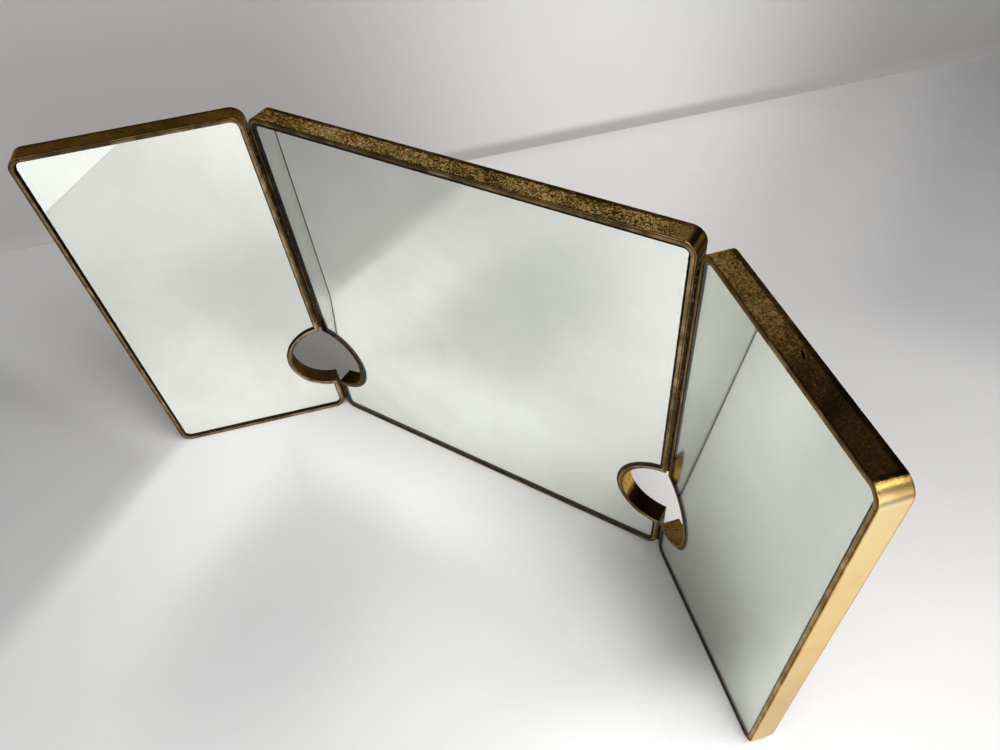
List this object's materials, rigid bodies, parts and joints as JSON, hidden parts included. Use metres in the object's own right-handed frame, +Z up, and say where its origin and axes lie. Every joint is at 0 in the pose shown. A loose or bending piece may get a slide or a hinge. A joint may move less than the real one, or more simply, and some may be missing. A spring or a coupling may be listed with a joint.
{
  "type": "folding table mirror",
  "caption": "Three-panel folding table mirror: a wide centre mirror and two half-width wings in brass frames, hinged at the front, with a round hole at each joint.",
  "frame": {"origin": "middle of the centre panel's underside", "axes": "+X to the viewer's right along the centre panel, +Y away from the viewer, +Z up; the centre mirror faces -Y"},
  "size_m": [0.7418, 0.1621, 0.4],
  "materials": {
    "aged_brass": "aged lacquered brass, mottled brown",
    "hinge_brass": "darkened brass",
    "screw_brass": "aged brass",
    "mirror_glass": "clear, faintly green",
    "mirror_silver": "old silvering, dark along the rim",
    "black_liner": "matt black paper tape",
    "felt_packing": "grey felt",
    "walnut_board": "waxed walnut"
  },
  "bodies": {
    "centre": {"centre_frame": "aged_brass", "centre_liner": "black_liner", "centre_glass": "mirror_glass", "centre_silvering": "mirror_silver", "centre_packing": "felt_packing", "centre_board": "walnut_board", "centre_frame_screws": "screw_brass", "left_upper_hinge_centre_leaf": "hinge_brass", "left_upper_hinge_pin": "hinge_brass", "left_lower_hinge_centre_leaf": "hinge_brass", "left_lower_hinge_pin": "hinge_brass", "left_hinge_centre_screws": "screw_brass", "right_upper_hinge_centre_leaf": "hinge_brass", "right_upper_hinge_pin": "hinge_brass", "right_lower_hinge_centre_leaf": "hinge_brass", "right_lower_hinge_pin": "hinge_brass", "right_hinge_centre_screws": "screw_brass"},
    "left_wing": {"left_frame": "aged_brass", "left_liner": "black_liner", "left_glass": "mirror_glass", "left_silvering": "mirror_silver", "left_packing": "felt_packing", "left_board": "walnut_board", "left_frame_screws": "screw_brass", "left_upper_hinge_wing_leaf": "hinge_brass", "left_lower_hinge_wing_leaf": "hinge_brass", "left_hinge_wing_screws": "screw_brass"},
    "right_wing": {"right_frame": "aged_brass", "right_liner": "black_liner", "right_glass": "mirror_glass", "right_silvering": "mirror_silver", "right_packing": "felt_packing", "right_board": "walnut_board", "right_frame_screws": "screw_brass", "right_upper_hinge_wing_leaf": "hinge_brass", "right_lower_hinge_wing_leaf": "hinge_brass", "right_hinge_wing_screws": "screw_brass"}
  },
  "joints": [
    {"name": "left_wing_fold", "type": "hinge", "parent": "centre", "child": "left_wing", "pos_m": [-0.2094, -0.0103, 0.2], "axis": [0, 0, 1], "range_deg": [-44, 136]},
    {"name": "right_wing_fold", "type": "hinge", "parent": "centre", "child": "right_wing", "pos_m": [0.2094, -0.0103, 0.2], "axis": [0, 0, -1], "range_deg": [-44, 136]}
  ]
}
